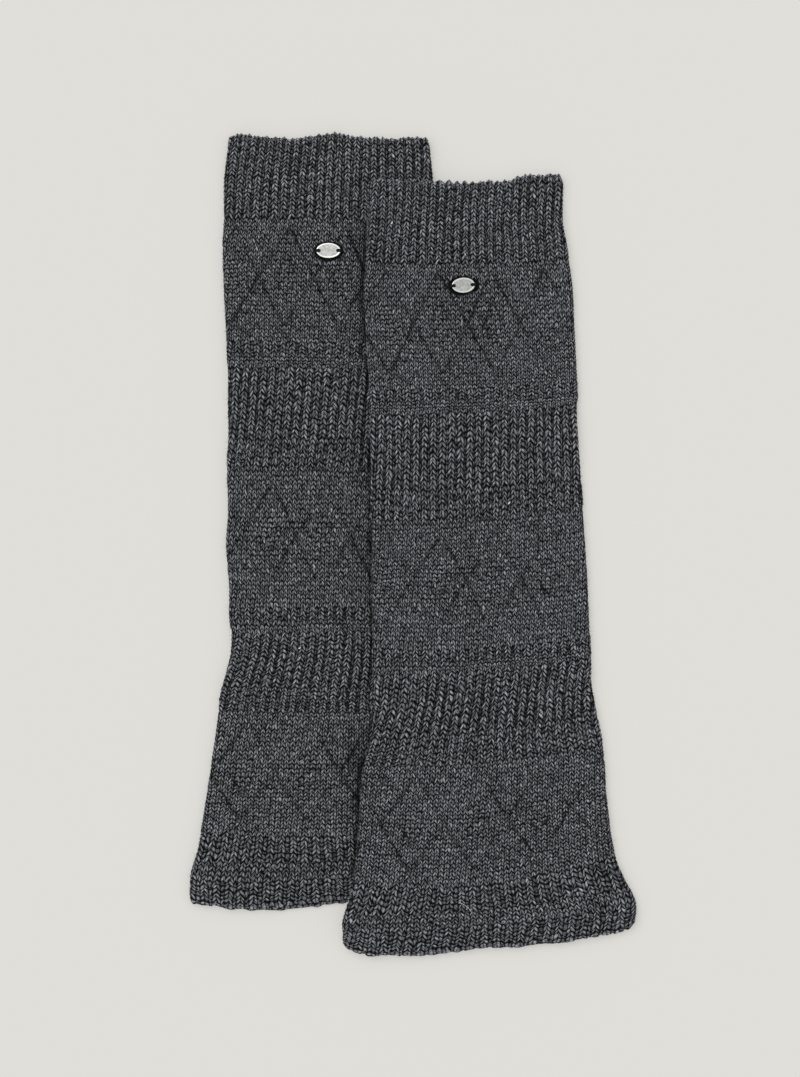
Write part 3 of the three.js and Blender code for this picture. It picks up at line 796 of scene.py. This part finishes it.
def plate_rim(node):
    """The plate's raised rim: a low oval bead along an ellipse, sunk into the plate's top edge."""
    middle, axes = plate_frame(node)
    turn = turn_of(72)
    along = (PLATE_HALF[0] - RIM + 0.06) * np.cos(turn)
    aside = (PLATE_HALF[1] - RIM + 0.06) * np.sin(turn)
    rise = np.full_like(turn, PLATE_THICK / 2 - RIM_RISE + 0.16)
    path = middle + np.stack([along, aside, rise], axis=1) @ axes * MM
    bead = closed_tube(path, axes[2], RIM * MM, 12)
    over = (bead - path[:, None]) @ axes[2]
    return bead - (1 - RIM_RISE / RIM) * over[..., None] * axes[2]


def squarish(wave):
    """A cosine or sine with fuller shoulders: its size to the power of 0.7, with its sign."""
    return np.sign(wave) * np.abs(wave) ** 0.7


def thread_loops(node):
    """Four turns of thread at each end of a plate: each goes up through the hole, over the end of
    the plate and down into the wool, along a squarish ellipse |a|^n + |c|^n = 1. They fill the
    hole, swell over its edge and draw together at the end."""
    middle, axes = plate_frame(node)
    turn = turn_of(28)
    outer_end = PLATE_HALF[0] + 0.9
    loops = []
    for side in (-1, 1):
        for fan in (-1.2, -0.4, 0.4, 1.2):
            inner_end = HOLE_AT - 0.4 + 0.25 * abs(fan)
            centre, half = (inner_end + outer_end) / 2, (outer_end - inner_end) / 2
            away = centre + half * squarish(np.cos(turn))
            rise = (0.82 + 0.06 * fan) * squarish(np.sin(turn))
            spread = np.interp(away, [HOLE_AT - 0.4, HOLE_AT + 0.5, outer_end], [0.34, 0.52, 0.34])
            aside = fan * spread
            path = middle + np.stack([side * away, aside, rise], axis=1) @ axes * MM
            loops.append(closed_tube(path, side * axes[1] * np.ones((28, 1)), THREAD * MM, 8))
    return loops


def thread_cotton():
    """Black sewing thread: a fine twist of darker and lighter bands, quite matt."""
    material, tree, shader = new_material("black_sewing_thread", 0.8, 0.2)
    place = add(tree, "TexCoord").outputs["Object"]
    turned = (0, math.radians(30), math.radians(35))
    place = add(tree, "Mapping", {"Vector": place, "Rotation": turned}).outputs[0]
    twist = add(tree, "TexWave", {"Vector": place, "Scale": 900, "Distortion": 2})
    dark, light = (0.002, 0.002, 0.002), (0.012, 0.012, 0.013)
    two_tones(tree, shader, twist.outputs["Fac"], dark, light)
    return material


SATIN = satin_metal("satin_silver_metal", dull=0.5, bright=0.7, matt=0.68, shiny=0.58)
# The rim is polished, and its metal is made much lighter than the face's: painted highlight for the light
# its bead catches.
POLISHED_RIM_PAINTED_HIGHLIGHT = satin_metal("polished_rim_painted_highlight", dull=0.92, bright=0.99, matt=0.42, shiny=0.32)
COTTON = thread_cotton()
for leg_name in ("lower", "upper"):
    node = f"{leg_name}_badge"
    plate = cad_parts[node]
    plate.data.materials.clear()
    plate.data.materials.append(SATIN)
    dress(mesh_of_tubes(f"{node}_rim", [plate_rim(node)]), POLISHED_RIM_PAINTED_HIGHLIGHT)
    dress(mesh_of_tubes(f"{node}_thread", thread_loops(node)), COTTON)


# THE LOWER LEG
# The leg that lies flat on the surface, partly under the other one. It leans to the left below
# its second rib, and its layer underneath reaches a little past the hem.

LOWER = leg_of(
    courses=[
        (0, -106.2, 10.1, 235.9, 236.5, 234.2), (10, -108.8, 12.1, 212.8, 212.8, 211.2),
        (20, -109.1, 13.8, 189.0, 188.5, 187.3), (26, -110.0, 14.7, 174.5, 173.9, 172.9),
        (38, -109.1, 15.3, 145.5, 144.4, 142.7), (52, -107.4, 16.2, 113.1, 112.0, 110.1),
        (57, -106.8, 16.2, 102.0, 101.5, 100.3), (72, -106.8, 16.4, 60.3, 60.3, 59.2),
        (79, -107.4, 16.7, 42.3, 41.7, 40.6), (87, -106.8, 17.3, 20.6, 20.3, 19.1),
        (95, -107.9, 17.9, -1.2, -1.2, -2.4), (103, -106.3, 19.0, -21.5, -21.5, -22.1),
        (111, -105.7, 20.2, -41.8, -41.8, -41.8), (115, -104.5, 21.1, -52.3, -51.1, -50.0),
        (120, -105.7, 22.5, -63.9, -63.9, -62.7), (128, -110.6, 24.8, -82.4, -83.6, -82.4),
        (136, -112.6, 26.6, -98.7, -99.8, -98.7), (150, -117.8, 29.5, -134.6, -134.6, -132.3),
        (165, -122.8, 33.0, -167.1, -168.9, -163.6), (169, -125.0, 35.3, -178.1, -178.8, -172.0),
        (172, -127.4, 37.6, -186.2, -186.5, -178.4), (174.5, -128.9, 39.4, -193.1, -193.0, -183.6),
        (181, -128.9, 39.4, -207.7, -207.7, -197.3),
    ],
    # How far the layer underneath reaches past the cuff and the hem, and the corners' radii there.
    reach=(0.8, 2.6),
    corner=(2.0, 3.5),
    # How far each open edge waves up the leg: x, rise.
    cuff_wave=[
        (-104, 1.2), (-98, 1.2), (-91, 0.3), (-82, -0.5), (-74, -1.4), (-63, -0.9), (-56, 0.2),
        (-50, 1.3), (-44, 1.6), (-35, 0.1), (-22, -0.5), (-8, 0.2), (4, 1.1), (10, 0.9),
    ],
    hem_wave=[
        (-127, 0.2), (-116, -0.2), (-107, -1.5), (-95, -1.6), (-80, -0.8), (-68, 0.6), (-58, 1.1),
        (-50, 2.0), (-42, 2.1), (38, 2.3),
    ],
    # The wale from the left fold in the middle of a diamond, as the tube is a little twisted.
    drift=[
        (0, 16.6), (22, 15.4), (34, 14.2), (47, 13.4), (80, 10.6), (93, 9.6), (104, 8.8), (138, 6.7),
        (162, 6.8), (181, 6.8),
    ],
    # x, y, angle, length, width, rise
    folds=[
        (-70, 196, 0, 60, 9, 0.5), (-88, -66, -68, 24, 6, 0.6), (-95, -84, -5, 16, 4, 0.5),
        (-68, -94, 0, 30, 4, -0.55), (-44, -101, 3, 22, 3.5, 0.4), (-60, -186, 4, 45, 7, -0.5),
        (-29, 70, 90, 120, 6, -0.5), (-33, -120, 94, 100, 6, -0.5), (-31, 180, 90, 40, 5, -0.2),
        (-96, 112, 84, 30, 5, -0.4), (-20, 30, 60, 40, 7, 0.4), (0, -120, -50, 35, 8, 0.5),
    ],
)
# The line along which the upper leg's left fold lies on this leg, beside which this leg gets painted
# shade: height up the leg, x.
LOWER["crossed"] = through([
    (-217, -41.2), (-197, -35.4), (-162, -32.2), (-130, -29.8), (-113, -25.6), (-93, -22.6),
    (-20, -24.2), (31, -24.6), (84, -25.3), (118, -27.3), (148, -28.8), (175, -27.2), (211, -26.6),
])
# The lower leg's wool is coloured a little darker than the upper's: painted shade for the leg that lies
# underneath.
LOWER_WOOL = wool_material("charcoal_wool_lower", light=(0.7, 0.719, 0.774))
LOWER_SKIN = knit_leg(
    "lower", LOWER, LOWER_WOOL, "lower_leg_warmer", wool_under("lower_badge")
)


def seam_tuft(seed):
    """The ends of the back seam's yarn, which stick out of the cuff in a small curly tuft."""
    random = np.random.default_rng(seed)
    count = 260
    x = random.triangular(-59, -52, -41, count)
    root = np.stack([x, np.full(count, 235.6), random.uniform(0.6, 2.6, count)], axis=1)
    reach = np.where(x < -56, 1.3, 2.2)
    first = root + np.stack([random.normal(0, 0.6, count), random.uniform(0.8, 1.6, count) * reach / 2,
                             random.uniform(0, 0.6, count)], axis=1)
    last = first + np.stack([random.normal(0, 1.1, count), random.normal(0.7, 0.6, count) * reach / 2,
                             random.normal(0, 0.4, count)], axis=1)
    paths = np.stack([root, first, last], axis=1)
    paths[..., 2] = np.clip(paths[..., 2], 0.3, 4)
    return paths


dress(strands("lower_fuzz", fuzz_paths(LOWER_SKIN, HAIRS, 37), HAIR), FUZZ)
dress(strands("lower_seam_tuft", seam_tuft(31), 0.08), FUZZ)


# THE UPPER LEG
# The same tube, laid partly on the first one. Past the lower leg's right fold it comes down to
# the surface in an S curve. Its hem flares out, and its left corner rolls up.

CLEAR = 0.35  # the gap between two pieces that touch
LIFT = THICK + RIB + CLEAR  # its height on the lower leg
HOLD, DRAPE = 2.5, 20  # how far it stays level past that leg's edge, and comes down over


def ground_of_upper(x, y):
    """The lower leg's height, with its folds, down to the surface in an S curve beside it."""
    number = np.linspace(0, COURSES, 400)
    up = LOWER["at_right"](number)[::-1]
    fold_x = np.interp(y, up, LOWER["right"](number)[::-1])
    held = np.clip(x, LOWER["left"](COURSES), LOWER["right"](COURSES))
    hem_y = height_up(LOWER, held, np.full_like(x, COURSES), 1)
    away = np.hypot(np.maximum(x - fold_x, 0), np.maximum(hem_y - y, 0))
    under = LIFT + np.maximum(fold_rise(LOWER, x, y), 0)
    return under * (1 - ramp(away, HOLD, HOLD + DRAPE))


UPPER = leg_of(
    courses=[
        (0, -25.6, 87.5, 211.1, 209.3, 212.2), (10, -25.6, 87.3, 187.3, 186.1, 188.4),
        (15, -26.2, 89.3, 175.4, 174.2, 176.8), (20, -26.8, 90.9, 163.5, 162.3, 165.2),
        (26, -27.9, 93.1, 148.4, 147.8, 149.6), (38, -26.4, 94.5, 118.2, 117.0, 119.3),
        (52, -24.3, 95.8, 84.1, 85.9, 89.5), (57, -24.1, 95.6, 74.2, 75.9, 80.6),
        (72, -23.7, 97.9, 30.7, 31.8, 36.9), (79, -23.3, 99.0, 11.1, 12.7, 19.8),
        (95, -23.3, 101.7, -26.7, -25.6, -21.5), (111, -22.8, 103.1, -65.6, -65.0, -57.9),
        (115, -22.6, 103.7, -76.1, -73.2, -65.9), (121, -21.6, 104.2, -93.3, -89.5, -80.9),
        (128, -24.6, 107.2, -113.4, -108.5, -98.5), (136, -28.8, 110.9, -130.0, -128.8, -118.4),
        (150, -31.2, 113.3, -162.5, -162.5, -149.1), (165, -34.5, 118.0, -196.7, -196.7, -180.5),
        (169, -37.9, 123.2, -208.3, -206.9, -193.1), (172, -40.3, 127.5, -217.0, -213.9, -200.9),
        (174.5, -40.7, 129.8, -223.9, -219.5, -208.3), (181, -40.7, 129.5, -237.3, -233.7, -221.5),
    ],
    reach=(1.2, 0.6),
    corner=(3.2, 6.0),
    cuff_wave=[
        (-26, 0.3), (16, 0.5), (34, -0.1), (45, 0.4), (52, 0.0), (58, 1.2), (63, 3.0), (68, 3.3),
        (74, 2.9), (81, 2.7), (86, 2.0),
    ],
    hem_wave=[
        (-40, 3.4), (-36.5, 3.0), (-31, 1.3), (-25, -0.4), (-18, -0.7), (-12, -0.2), (-3, -1.2), (8, -0.8),
        (20, -0.3), (28, 0.3), (40, 0.8), (50, 0.3), (60, -0.8), (72, -0.5), (88, -1.4), (105, -1.2),
        (129, -0.3),
    ],
    drift=[
        (0, 18.4), (22, 17.3), (46, 17.3), (80, 15.9), (94, 15.0), (106, 13.9), (114, 13.6), (128, 11.5),
        (137, 11.2), (149, 10.6), (161, 10.2), (181, 9.0),
    ],
    folds=[
        (-32, -223, 92, 16, 6.5, 1.6), (-18.7, -219, -74, 13, 2.6, -0.8),
        (-8, -223, 80, 12, 6, 0.5), (40, 171, 0, 60, 8, 0.5), (62, -222, 74, 13, 7, 0.7),
        (108, -190, 70, 24, 7, 0.6), (-21, 60, 91, 150, 5, 2.2), (-26, -110, 94, 95, 6, 2.4),
        (-21, 190, 90, 40, 5, 1.3), (112, -20, -84, 130, 9, -0.7), (42.5, 163.5, 5, 8, 2.2, -0.7),
        (20, 159, -50, 8, 2.2, -0.6), (41, 126, 70, 20, 8, -0.3), (2, 158, 0, 12, 5, 0.4),
        (72, 138, -62, 26, 4, 0.4), (70, 206, 15, 12, 4, 0.6), (60, -96, 8, 40, 4, -0.5),
        (94, -88, 12, 16, 5, 0.6), (20, -176, -4, 34, 5, 0.4),
    ],
)
UPPER["ground"] = ground_of_upper
UPPER_WOOL = wool_material("charcoal_wool_upper", light=(0.715, 0.736, 0.801))
UPPER_SKIN = knit_leg(
    "upper", UPPER, UPPER_WOOL, "upper_leg_warmer", wool_under("upper_badge")
)
dress(strands("upper_fuzz", fuzz_paths(UPPER_SKIN, HAIRS, 41), HAIR), FUZZ)


# THE LINT
# A few bits of white lint that have caught in the wool, and one long pale hair near the hem.

def height_of(skin, x, y):
    """The highest point of a leg's skin within 0.8 mm of each (x, y)."""
    points = skin[0]
    near = np.hypot(points[:, 0] - x[:, None], points[:, 1] - y[:, None]) < 0.8
    return np.where(near, points[:, 2], 0).max(axis=1)


def lint(name, skin, middle, turn, length, bow, radius):
    """A bit of lint: a hair on the skin along a parabola of that length and bow."""
    t = np.linspace(-1, 1, 12)
    along, aside = t * length / 2, bow * (1 - t * t)
    c, s = math.cos(math.radians(turn)), math.sin(math.radians(turn))
    x, y = middle[0] + along * c - aside * s, middle[1] + along * s + aside * c
    z = height_of(skin, x, y)
    z = np.convolve(np.pad(z, 2, mode="edge"), np.ones(5) / 5, mode="valid") + 0.3
    dress(strands(name, np.stack([x, y, z], axis=1)[None], radius), PALE)


def pale_fibre():
    """White fibre, a little grey in places."""
    material, tree, shader = new_material("pale_fibre", 0.9)
    dark, light = (0.7, 0.7, 0.7), (0.92, 0.92, 0.91)
    two_tones(tree, shader, clouds_of(tree, 1200, 2), dark, light)
    return material


PALE = pale_fibre()
lint("lint_1", UPPER_SKIN, (-11.7, 186.7), 60, 1.6, 0.1, 0.6)
lint("lint_2", UPPER_SKIN, (30.7, 168.7), 100, 1.4, 0.1, 0.5)
lint("lint_3", UPPER_SKIN, (56.2, 24.9), 45, 1.6, 0.1, 0.55)
lint("lint_4", LOWER_SKIN, (-65, -59.2), 20, 1.3, 0.1, 0.5)
lint("pale_hair", UPPER_SKIN, (31.1, -209.8), -43, 11, 1.2, 0.14)


# THE SURFACE, THE LIGHT AND THE CAMERA
# A plain pale tabletop, an even soft light from above with a little more of it from the top left,
# and a camera that looks straight down.

def tabletop():
    """A flat square of pale matt acrylic under the pair. Its material glows faintly: painted
    light, which keeps the shadows on it light."""
    half, low = 3.0, -0.05 * MM  # six metres wide, just clear of the wool
    mesh = bpy.data.meshes.new("tabletop")
    corners = [(-half, -half, low), (half, -half, low), (half, half, low), (-half, half, low)]
    mesh.from_pydata(corners, [], [(0, 1, 2, 3)])
    material, tree, shader = new_material("pale_tabletop", 1.0, 0.0)
    feed(tree, shader, {"Base Color": (0.40, 0.395, 0.375, 1)})
    # Painted light: the tabletop glows, which lifts the shadows on it.
    feed(tree, shader, {"Emission Color": (0.80, 0.79, 0.75, 1), "Emission Strength": 0.465})
    mesh.materials.append(material)
    placed("tabletop", mesh)


tabletop()
sun = bpy.data.lights.new("soft_key", "SUN")
sun.energy = 1.0
sun.angle = math.radians(50)
key = placed("soft_key", sun)
key.rotation_euler = (math.radians(-22), math.radians(-26), 0)
world = bpy.data.worlds.new("even_light")
world.use_nodes = True
sky = world.node_tree.nodes["Background"]
feed(world.node_tree, sky, {"Color": (1, 1, 1, 1), "Strength": 0.667})
bpy.context.scene.world = world
bpy.context.scene.view_settings.view_transform = "Standard"

VIEW_HEIGHT = 624.7 * MM  # what the camera sees from top to bottom
DISTANCE = 3.0  # from the surface to the camera, in metres
lens = bpy.data.cameras.new("camera")
lens.lens = lens.sensor_width * DISTANCE / VIEW_HEIGHT
lens.clip_end = 20
camera = placed("camera", lens)
camera.location = (-7.05 * MM, 4.28 * MM, DISTANCE)
bpy.context.scene.camera = camera
